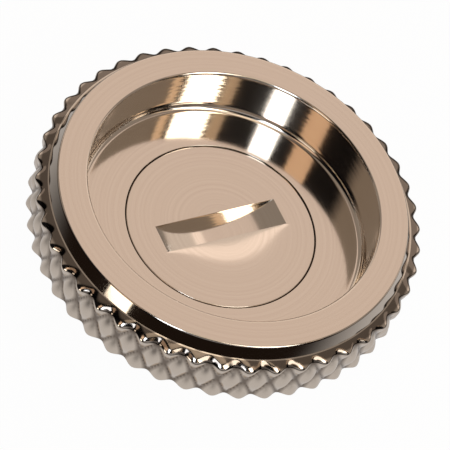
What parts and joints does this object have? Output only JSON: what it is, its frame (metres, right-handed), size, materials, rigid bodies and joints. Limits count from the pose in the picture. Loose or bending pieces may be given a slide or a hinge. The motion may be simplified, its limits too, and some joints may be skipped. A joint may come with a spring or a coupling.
{
  "type": "deck fill cap",
  "caption": "Round knurled deck fill cap with a dished top, a slotted vent screw in its floor, a threaded skirt and a flat seat gasket.",
  "frame": {"origin": "centre of the skirt's end, on the cap's axis", "axes": "+Z along the cap's axis, up out of the deck; +X along the coin slot when the vent is shut"},
  "size_m": [0.0612, 0.0612, 0.0238],
  "materials": {
    "plated_brass": "turned and plated bright",
    "plated_disc": "turned and plated bright",
    "gasket_rubber": "matt black",
    "seal_rubber": "satin black",
    "spring_steel": "bright rolled",
    "sheet_steel": "pressed and tumbled",
    "nylon": "natural"
  },
  "bodies": {
    "cap": {"cap_body": "plated_brass", "seat_gasket": "gasket_rubber", "swivel_washer": "nylon", "swivel_clip": "spring_steel"},
    "seal_carrier": {"vent_seal": "seal_rubber"},
    "vent": {"vent_screw": "plated_disc", "stop_washer": "spring_steel", "stop_clip": "spring_steel"},
    "swivel": {"swivel_plate": "sheet_steel"}
  },
  "joints": [
    {"name": "vent_lift", "type": "slide", "parent": "cap", "child": "seal_carrier", "axis": [0, 0, 1], "range_m": [0, 0.0015]},
    {"name": "vent_turn", "type": "hinge", "parent": "seal_carrier", "child": "vent", "pos_m": [0, 0, 0.01505], "axis": [0, 0, 1], "range_deg": [0, 360]},
    {"name": "swivel_spin", "type": "hinge", "parent": "cap", "child": "swivel", "pos_m": [0, 0, 0.00485], "axis": [0, 0, 1], "continuous": true}
  ],
  "couplings": [
    {"joint": "vent_lift", "follows": "vent_turn", "m_per_rad": 0.00023873}
  ]
}
